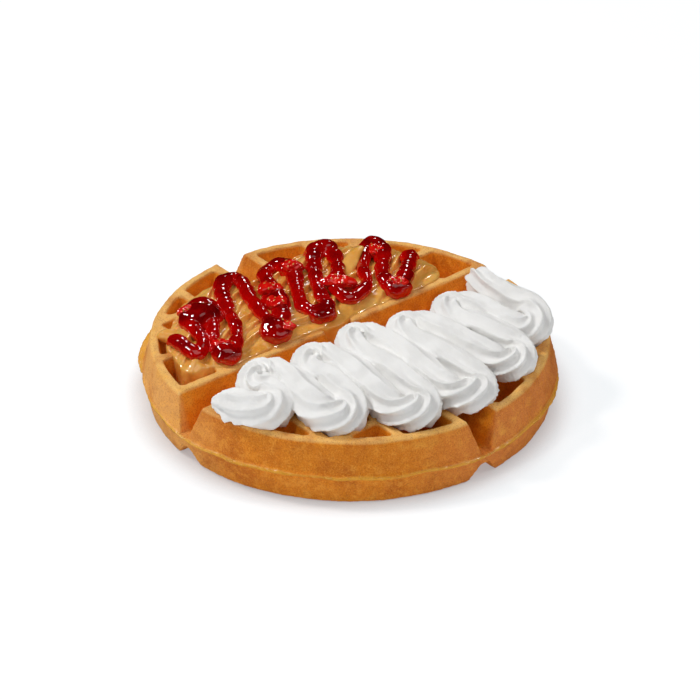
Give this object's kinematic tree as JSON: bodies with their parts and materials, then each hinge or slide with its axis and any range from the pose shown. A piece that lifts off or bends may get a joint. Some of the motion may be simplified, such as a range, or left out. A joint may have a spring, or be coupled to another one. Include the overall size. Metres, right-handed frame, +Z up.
{
  "type": "topped belgian waffle",
  "caption": "Round deep-pocket waffle in four quarters, topped with peanut butter, a strawberry jam zigzag and a piped whipped cream rope.",
  "frame": {"origin": "middle of the waffle's underside, on the surface that it rests on", "axes": "+Z up through the waffle; X and Y along the two dividing grooves; the peanut butter half is at -X and the cream half at +X"},
  "size_m": [0.18, 0.18, 0.0437],
  "materials": {
    "waffle_crust": "baked golden brown crust, matte, darker in the pockets",
    "peanut_butter": "smooth glossy peanut butter spread in folds",
    "strawberry_jam": "glossy dark red jam with pieces of strawberry",
    "whipped_cream": "soft matte whipped cream with fluted ridges"
  },
  "bodies": {
    "root": {"waffle": "waffle_crust", "peanut_butter": "peanut_butter", "jam": "strawberry_jam", "whipped_cream": "whipped_cream"}
  },
  "joints": []
}
